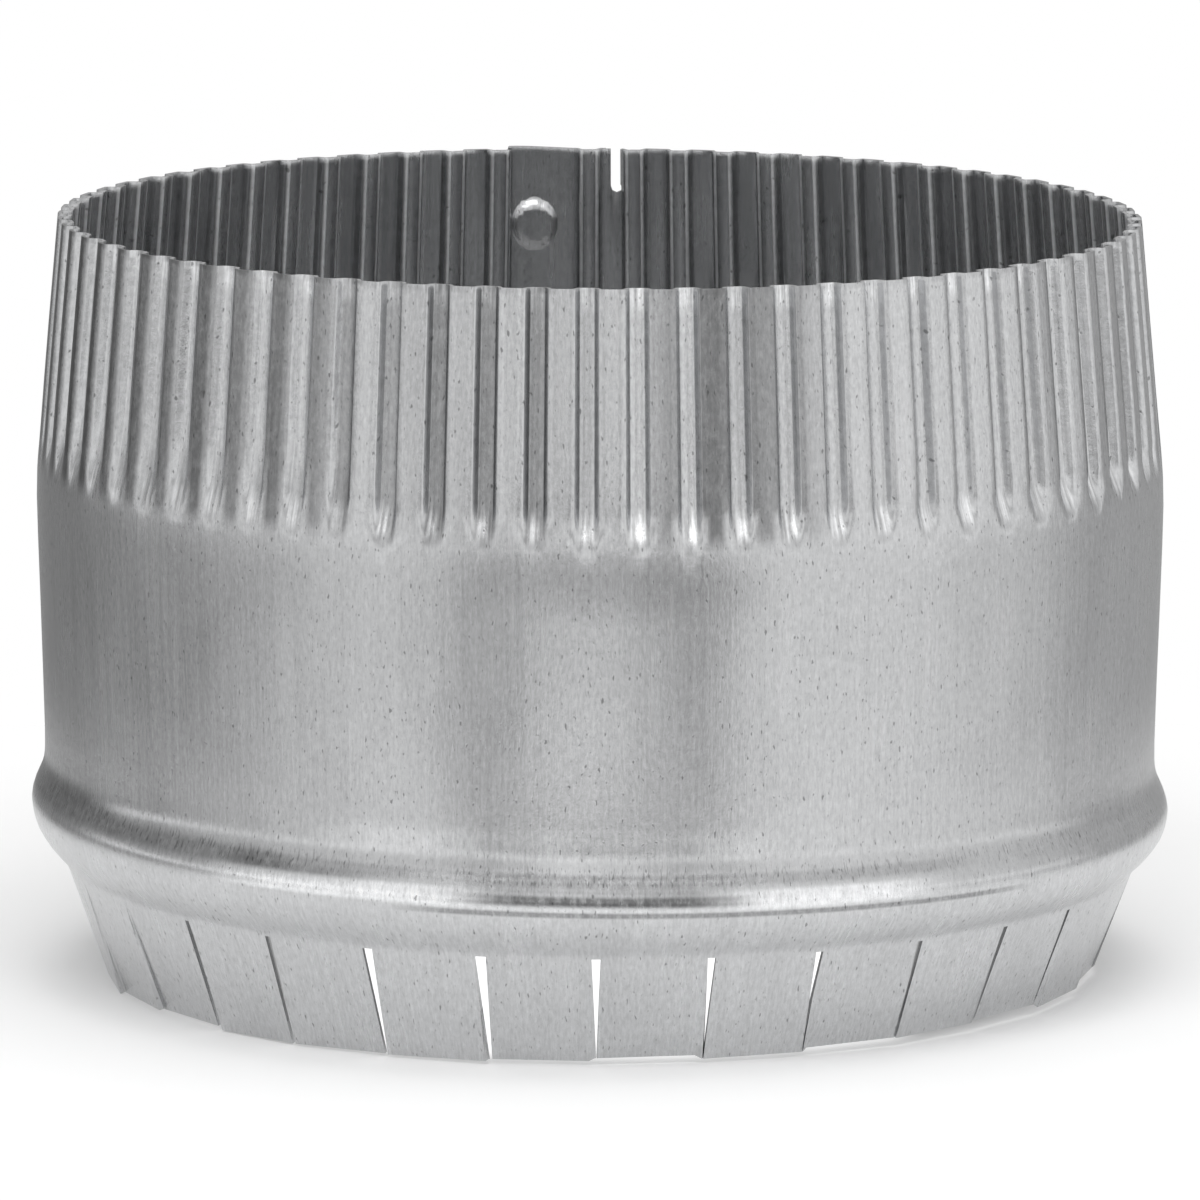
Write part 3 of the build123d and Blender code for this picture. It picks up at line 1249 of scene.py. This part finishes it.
@dataclass
class Collar:
    """The collar: one strip of sheet with its tabs, bead, band, crimped end, lap and buttons.

    Lengths are millimetres and turns degrees.
    """

    height: float = 103.0
    band_radius: float = BAND_RADIUS
    sheet: float = 0.5
    tab_count: int = 30
    tab_height: float = 15.0
    tip_radius: float = 67.2
    neck_radius: float = 73.3
    slit_top: float = 14.6
    slit_widths: Span = (0.2, 0.9)
    own_widths: tuple[tuple[int, Span], ...] = (
        (8, (0.03, 0.04)),
        (9, (0.03, 0.04)),
        (10, (0.03, 0.04)),
        (11, (0.75, 0.95)),
        (12, (0.65, 0.85)),
        (13, (0.65, 1.45)),
        (14, (0.35, 1.45)),
        (15, (0.08, 1.25)),
        (16, (0.15, 1.15)),
        (17, (0.15, 1.05)),
        (18, (0.15, 0.75)),
        (19, (0.65, 0.85)),
        (20, (0.20, 0.75)),
        (21, (0.20, 0.50)),
    )
    bead_radius: float = 77.95
    bead_height: float = 22.8
    bead_end: float = 27.0
    shoulder_radius: float = 75.65
    bulge_radius: float = 77.0
    crimp_count: int = CRIMP_COUNT
    crimp_phase: float = CRIMP_PHASE
    crimp_foot: float = 68.2
    crimp_full: float = 74.2
    crimp_depth: float = 1.4
    ridge_edge: float = 0.245
    valley_edge: float = 0.365
    rim_radius: float = 73.6
    lap_edge_offset: float = 0.9
    lap_width: float = 14.8
    lap_gap: float = 0.06
    notch_offset: float = 1.575
    notch_width: float = 1.75
    notch_depth: float = 6.3
    button_setback: float = BUTTON_SETBACK
    button_heights: tuple[float, ...] = (34.7, 63.35, 92.0)
    button_face: float = 5.3
    button_edge: float = 6.3
    button_rise: float = 0.8
    press_shift: float = 1.3
    press_reach: float = 5.0
    # Stretches of ridges and of valleys darkened with painted shade.
    shade_on_ridges: tuple[Patch, ...] = (
        Patch(96.0, 152.0, 0.85),
        Patch(188.0, 201.0, 0.75),
        Patch(262.0, 300.0, 0.4),
    )
    shade_in_valleys: tuple[Patch, ...] = (Patch(152.0, 177.0, 0.55), Patch(30.0, 70.0, 0.4))
    deep_turns: Span = (90.0, 156.0)
    crimp_marks: tuple[float, ...] = (
        -0.245, -0.1, 0.1, 0.245, 0.275, 0.305, 0.335, 0.365, 0.5, 0.635, 0.665, 0.695, 0.725
    )
    edge_round: float = 0.22
    burr_angle: float = 72.0
    sharp_angle: float = 58.0

    def turn_of(self, width: float) -> float:
        """Turn in degrees of a width measured round the band."""
        return math.degrees(width / self.band_radius)

    def bends(self) -> list[Bend]:
        """Points of the wall's profile from the tips to the rim.

        Returns:
            The bends in rising order.
        """
        return [
            Bend(0.0, self.tip_radius, 0.0),
            Bend(self.tab_height + 0.1, self.neck_radius, 0.35),
            Bend(self.tab_height + 2.4, self.bead_radius - 2.2, 0.9),
            Bend(self.bead_height - 3.1, self.bead_radius - 0.6, 1.0),
            Bend(self.bead_height, self.bead_radius, 1.0),
            Bend(self.bead_height + 2.2, self.bead_radius - 0.85, 1.0),
            Bend(self.bead_end, self.shoulder_radius, 1.8),
            Bend(self.crimp_foot - 1.2, self.bulge_radius, 4.0),
            Bend(self.crimp_foot + 6.4, self.band_radius, 4.0),
            Bend(self.height, self.rim_radius, 1.0),
        ]

    def rows(self) -> list[float]:
        """Heights of the blank's rows, closer where the sheet bends.

        Returns:
            The heights in rising order.
        """
        tabs = [0.0, 7.0, self.slit_top]
        bead = [self.tab_height, 15.3, 15.8] + [16.6 + k for k in range(14)]
        band = [32.0, 40.0, 50.0, 59.0, 64.5]
        fade = [self.crimp_foot + 0.8 * k for k in range(9)]
        notch_bottom = self.height - self.notch_depth
        crimped = [80.0, 87.5, notch_bottom, notch_bottom + 1.2, 102.0, self.height]
        return tabs + bead + band + fade + crimped

    def buttons(self) -> list[Button]:
        """The buttons in both layers of the lap."""
        turn = self.turn_of(self.button_setback)
        return [Button(turn + lap, z) for lap in (0.0, 360.0) for z in self.button_heights]

    def blank(self) -> SheetBlank:
        """The flat strip that the collar is formed from.

        Returns:
            The blank with its sizes.
        """
        return SheetBlank(
            band_radius=self.band_radius,
            strip_turn=360.0 + self.turn_of(self.lap_width),
            rows=self.rows(),
            crimp_count=self.crimp_count,
            crimp_phase=self.crimp_phase,
            crimp_marks=self.crimp_marks,
            tab_count=self.tab_count,
            slit_top=self.slit_top,
            slit_widths=self.slit_widths,
            own_widths=dict(self.own_widths),
            notch_turn=360.0 - self.turn_of(self.notch_offset),
            notch_width=self.notch_width,
            notch_depth=self.notch_depth,
            height=self.height,
            buttons=self.buttons(),
            button_reach=self.button_edge / 2 + 0.5,
        )

    def forming(self) -> FormingTree:
        """The tree that forms the strip, with its sizes in metres and radians.

        Returns:
            The tree, not yet built.
        """
        pitch = 360.0 / self.crimp_count
        sizes = {
            "Band Radius": self.band_radius * MM,
            "Lap Angle": math.radians(90.0 - self.turn_of(self.lap_edge_offset)),
            "Lap Inset": (self.sheet + self.lap_gap) * MM,
            "Crimp Pitch": math.radians(pitch),
            "Crimp Phase": math.radians(self.crimp_phase),
            "Crimp Depth": self.crimp_depth * MM,
            "Crimp Foot": self.crimp_foot * MM,
            "Crimp Full": self.crimp_full * MM,
            "Ridge Edge": self.ridge_edge,
            "Valley Edge": self.valley_edge,
            "Flat Lean": 0.00045,
            "Press Shift": math.radians(self.turn_of(self.press_shift)),
            "Press Reach": math.radians(self.turn_of(self.press_reach)),
            "Tab Count": float(self.tab_count),
            "Tab Height": self.tab_height * MM,
            "Tab Uneven": 0.0006,
            "Tab Twist": 0.004,
            "Tip Step": 0.00035,
            "Height": self.height * MM,
            "Bead Height": self.bead_height * MM,
            "Tip Skew": -0.008,
            "Bead Skew": 0.0125,
            "Rim Skew": 0.0063,
            "Foot Round": 0.030,
            "Foot Step": 0.0004,
            "Foot Flare": 0.14,
            "Dull Shade Fade": 0.0035,
            "Deep Open": 0.055,
            "Deep Fade": 0.0035,
            "Unevenness": 0.00025,
            "Button Face": self.button_face / 2 * MM,
            "Button Edge": self.button_edge / 2 * MM,
            "Button Rise": self.button_rise * MM,
            "Rim Step": 0.00045,
        }
        return FormingTree(
            name="formed_strip",
            bends=self.bends(),
            buttons=self.buttons(),
            shade_on_ridges=self.shade_on_ridges,
            shade_in_valleys=self.shade_in_valleys,
            deep_turns=self.deep_turns,
            sizes=sizes,
        )

    def formed_mesh(self, skin: bpy.types.Material, edge: bpy.types.Material) -> bpy.types.Mesh:
        """Cut the blank, form it, give it its thickness and round its cut edges.

        Args:
            skin: Finish of the sheet's faces.
            edge: Finish of its cut edges.

        Returns:
            The formed sheet as a plain mesh.
        """
        made = bpy.data.objects.new("collar_blank", self.blank().mesh("collar_blank"))
        bpy.context.scene.collection.objects.link(made)
        made.data.materials.append(skin)
        made.data.materials.append(edge)
        plan = self.forming()
        tree = plan.build()
        form = made.modifiers.new("forming", "NODES")
        form.node_group = tree
        sockets = [item for item in tree.interface.items_tree if item.in_out == "INPUT"]
        ids = {item.name: item.identifier for item in sockets}
        form[ids["Finish"]] = skin
        for label, value in plan.sizes.items():
            form[ids[label]] = value
        thick = made.modifiers.new("sheet", "SOLIDIFY")
        thick.thickness = self.sheet * MM
        thick.offset = -1.0
        thick.use_even_offset = True
        thick.use_quality_normals = True
        thick.material_offset_rim = 1
        soften = made.modifiers.new("burr", "BEVEL")
        soften.width = self.edge_round * MM
        soften.segments = 2
        soften.limit_method = "ANGLE"
        soften.angle_limit = math.radians(self.burr_angle)
        soften.material = 1
        graph = bpy.context.evaluated_depsgraph_get()
        mesh = bpy.data.meshes.new_from_object(made.evaluated_get(graph))
        mesh.name = "collar_sheet"
        made.modifiers.clear()
        bpy.data.objects.remove(made)
        return mesh

    def build(self) -> bpy.types.Object:
        """Make the collar and dress it.

        Returns:
            The finished collar as a plain mesh object.
        """
        skin = GalvanisedFinish().build()
        edge = CutEdgeFinish().build()
        mesh = self.formed_mesh(skin, edge)
        mesh.materials.clear()
        mesh.materials.append(skin)
        mesh.materials.append(edge)
        mesh.shade_smooth()
        mesh.set_sharp_from_angle(angle=math.radians(self.sharp_angle))
        piece = bpy.data.objects.new("collar_sheet", mesh)
        bpy.context.scene.collection.objects.link(piece)
        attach(piece, "root")
        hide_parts("collar")
        return piece


@dataclass(frozen=True)
class SoftBox:
    """A soft box: where it hangs, the point it faces, its width and height, and its watts."""

    name: str
    place: Point
    aim: Point
    size: Span
    watts: float

    def hang(self) -> None:
        """Make the lamp and turn it to its aim."""
        data = bpy.data.lights.new(self.name, "AREA")
        data.shape = "RECTANGLE"
        data.size, data.size_y = self.size
        data.energy = self.watts
        lamp = bpy.data.objects.new(self.name, data)
        bpy.context.scene.collection.objects.link(lamp)
        lamp.location = self.place
        towards = Vector(self.aim) - Vector(self.place)
        lamp.rotation_euler = towards.to_track_quat("-Z", "Y").to_euler()


@dataclass
class Table:
    """White table that fades out at its edge, in metres.

    Inside the ring it is darkened with painted shade, and a strip of it shows white to the camera
    through the slits.
    """

    radius: float = 0.26
    clear_from: float = 0.10
    corners: int = 96
    level: float = -0.0008
    white: float = 0.92
    roughness: float = 0.9
    glow: float = 0.08
    within: Span = (0.058, 0.067)
    within_glow: float = 0.9
    within_shade: float = 0.5
    glow_aside: Span = (0.038, 0.044)

    def build(self) -> bpy.types.Object:
        """Make the table and its paper.

        Returns:
            The table object.
        """
        shape = bmesh.new()
        bmesh.ops.create_circle(shape, cap_ends=True, segments=self.corners, radius=self.radius)
        mesh = bpy.data.meshes.new("table")
        shape.to_mesh(mesh)
        shape.free()
        table = bpy.data.objects.new("table", mesh)
        bpy.context.scene.collection.objects.link(table)
        mesh.materials.append(self.paper())
        for vertex in mesh.vertices:
            vertex.co.z = self.level
        return table

    def paper(self) -> bpy.types.Material:
        """White paper that turns clear towards the table's edge.

        Returns:
            The finished material.
        """
        shade = ShaderTree("white_table")
        place = shade.add("ShaderNodeTexCoord").outputs["Object"]
        length = shade.add("ShaderNodeVectorMath")
        length.operation = "LENGTH"
        shade.link(place, length.inputs[0])
        away = shade.field(length.outputs["Value"])
        within = 1.0 - away.ramp(*self.within)
        ahead = 1.0 - shade.separate(place)[0].size().ramp(*self.glow_aside)
        seen = shade.field(shade.add("ShaderNodeLightPath").outputs["Is Camera Ray"])
        glow = seen * within * ahead * self.within_glow + self.glow * (1.0 - within)
        # Painted shade: the paper is darker inside the ring.
        white = (1.0 - within * self.within_shade) * self.white
        paper = shade.add("ShaderNodeBsdfPrincipled")
        paper.inputs["Roughness"].default_value = self.roughness
        paper.inputs["Specular IOR Level"].default_value = 0.0
        paper.inputs["Emission Color"].default_value = (*WHITE, 1.0)
        shade.link(shade.grey(white, WHITE), paper.inputs["Base Color"])
        shade.link(glow.socket, paper.inputs["Emission Strength"])
        mix = shade.add("ShaderNodeMixShader")
        shade.link(away.ramp(self.clear_from, self.radius).socket, mix.inputs[0])
        shade.link(paper.outputs[0], mix.inputs[1])
        shade.link(shade.add("ShaderNodeBsdfTransparent").outputs[0], mix.inputs[2])
        shade.link(mix.outputs[0], shade.output.inputs["Surface"])
        return shade.material


@dataclass
class Room(NodeKit):
    """Pale room round the table, with greyer stretches of wall that the metal mirrors.

    Each wall has its azimuth in degrees, counted from the camera, and its level of light. Heights
    are the sines of elevations, or elevations in degrees where they end in tilt.
    """

    walls: tuple[Span, ...] = (
        (-180.0, 0.42),
        (-172.0, 0.34),
        (-156.0, 0.26),
        (-137.0, 0.25),
        (-113.0, 0.33),
        (-96.0, 0.36),
        (-82.0, 0.45),
        (-69.0, 0.62),
        (-57.0, 0.72),
        (-46.0, 0.86),
        (-36.0, 0.86),
        (-29.0, 0.55),
        (-21.0, 0.42),
        (-15.0, 0.86),
        (-8.0, 1.15),
        (2.0, 1.08),
        (10.0, 0.82),
        (15.0, 0.48),
        (21.0, 0.42),
        (27.0, 0.80),
        (34.0, 0.95),
        (55.0, 0.95),
        (67.0, 0.92),
        (79.0, 0.82),
        (93.0, 0.76),
        (110.0, 0.56),
        (121.0, 0.45),
        (133.0, 0.52),
        (150.0, 0.42),
        (172.0, 0.42),
        (180.0, 0.42),
    )
    shade_beside: Span = (20.8, 28.6)
    shade_low_tilt: Span = (-11.5, -9.0)
    shade_high_tilt: Span = (-4.5, -1.5)
    shade_depth: float = 0.8
    strip_from: Span = (-130.0, -112.0)
    strip_to: Span = (100.0, 122.0)
    strip_rise: Span = (-0.055, -0.025)
    strip_fall: Span = (0.06, 0.10)
    strip_level: float = 1.12
    upper_rise: Span = (0.08, 0.2)
    upper_share: float = 0.75
    upper_level: float = 0.22
    ceiling_rise: Span = (0.5, 0.85)
    ceiling_level: float = 0.55
    tree: bpy.types.NodeTree = field(init=False)

    def build(self) -> None:
        """Make the world, which the camera itself sees as white."""
        world = bpy.data.worlds.new("studio")
        bpy.context.scene.world = world
        world.use_nodes = True
        self.tree = world.node_tree
        self.tree.nodes.clear()
        seen = self.field(self.add("ShaderNodeLightPath").outputs["Is Camera Ray"])
        level = self.light() * (1.0 - seen) + seen
        back = self.add("ShaderNodeBackground")
        back.inputs["Color"].default_value = (*WHITE, 1.0)
        self.link(level.socket, back.inputs["Strength"])
        self.link(back.outputs[0], self.add("ShaderNodeOutputWorld").inputs["Surface"])

    def light(self) -> Field:
        """Level of light from each direction: walls, a bright strip on them and the ceiling.

        Returns:
            The level as a field.
        """
        x, y, z = self.separate(self.add("ShaderNodeTexCoord").outputs["Generated"])
        azimuth = x.angle_from(-y)
        wall = self.wall_level(azimuth)
        beside = 1.0 - azimuth.size().ramp(*radians_of(self.shade_beside))
        shaded = beside * z.window(sines_of(self.shade_low_tilt), sines_of(self.shade_high_tilt))
        wall = wall * (1.0 - shaded * self.shade_depth)
        wide = azimuth.window(radians_of(self.strip_from), radians_of(self.strip_to))
        strip = z.window(self.strip_rise, self.strip_fall) * wide
        wall = wall * (1.0 - strip) + strip * self.strip_level
        upper = wall * self.upper_share + self.upper_level
        lift = z.ramp(*self.upper_rise)
        ceiling = z.ramp(*self.ceiling_rise)
        side = wall * (1.0 - lift) + upper * lift
        return side * (1.0 - ceiling) + ceiling * self.ceiling_level

    def wall_level(self, azimuth: Field) -> Field:
        """Level of the wall at an azimuth in radians.

        Args:
            azimuth: Direction round the room, nought at the camera.

        Returns:
            The level as a field.
        """
        ramp = self.add("ShaderNodeValToRGB")
        ramp.color_ramp.interpolation = "LINEAR"
        stops = ramp.color_ramp.elements
        while len(stops) < len(self.walls):
            stops.new(0.5)
        for stop, (angle, level) in zip(stops, self.walls):
            stop.position = angle / 360.0 + 0.5
            stop.color = (level, level, level, 1.0)
        self.link((azimuth / FULL_TURN + 0.5).socket, ramp.inputs["Fac"])
        return self.field(ramp.outputs["Color"])


@dataclass
class Studio:
    """Table, room, lamps and the camera at the photograph's angle, in metres and degrees."""

    table: Table = field(default_factory=Table)
    room: Room = field(default_factory=Room)
    boxes: tuple[SoftBox, ...] = (
        SoftBox("front_box", (-0.1, -1.0, 1.35), (0.0, 0.0, 0.05), (1.5, 0.8), 9.5),
        SoftBox("top_box", (0.1, 0.15, 1.6), (0.0, 0.0, 0.0), (1.4, 1.0), 7.5),
    )
    camera_place: Point = (0.0, -1.476, 0.297)
    camera_pitch: float = 9.5
    camera_lens: float = 328.5
    camera_sensor: float = 36.0
    camera_reach: Span = (0.05, 50.0)

    def build(self) -> None:
        """Set up the whole studio."""
        self.table.build()
        self.room.build()
        for box in self.boxes:
            box.hang()
        self.camera()
        bpy.context.scene.view_settings.view_transform = "Standard"

    def camera(self) -> None:
        """Camera at the photograph's viewing angle, for a square frame."""
        data = bpy.data.cameras.new("camera")
        data.sensor_width = self.camera_sensor
        data.lens = self.camera_lens
        data.clip_start, data.clip_end = self.camera_reach
        camera = bpy.data.objects.new("camera", data)
        bpy.context.scene.collection.objects.link(camera)
        tilt = Matrix.Rotation(math.radians(90.0 - self.camera_pitch), 4, "X")
        camera.matrix_world = Matrix.Translation(self.camera_place) @ tilt
        bpy.context.scene.camera = camera


def main() -> None:
    """Build the collar and the studio, and report each piece."""
    logging.basicConfig(level=logging.INFO, format="%(name)s: %(message)s")
    piece = Collar().build()
    triangles = sum(len(p.vertices) - 2 for p in piece.data.polygons)
    LOG.info("%s: %d triangles", piece.name, triangles)
    Studio().build()
    LOG.info("studio: table, room, lamps and camera")


if __name__ == "__main__":
    main()
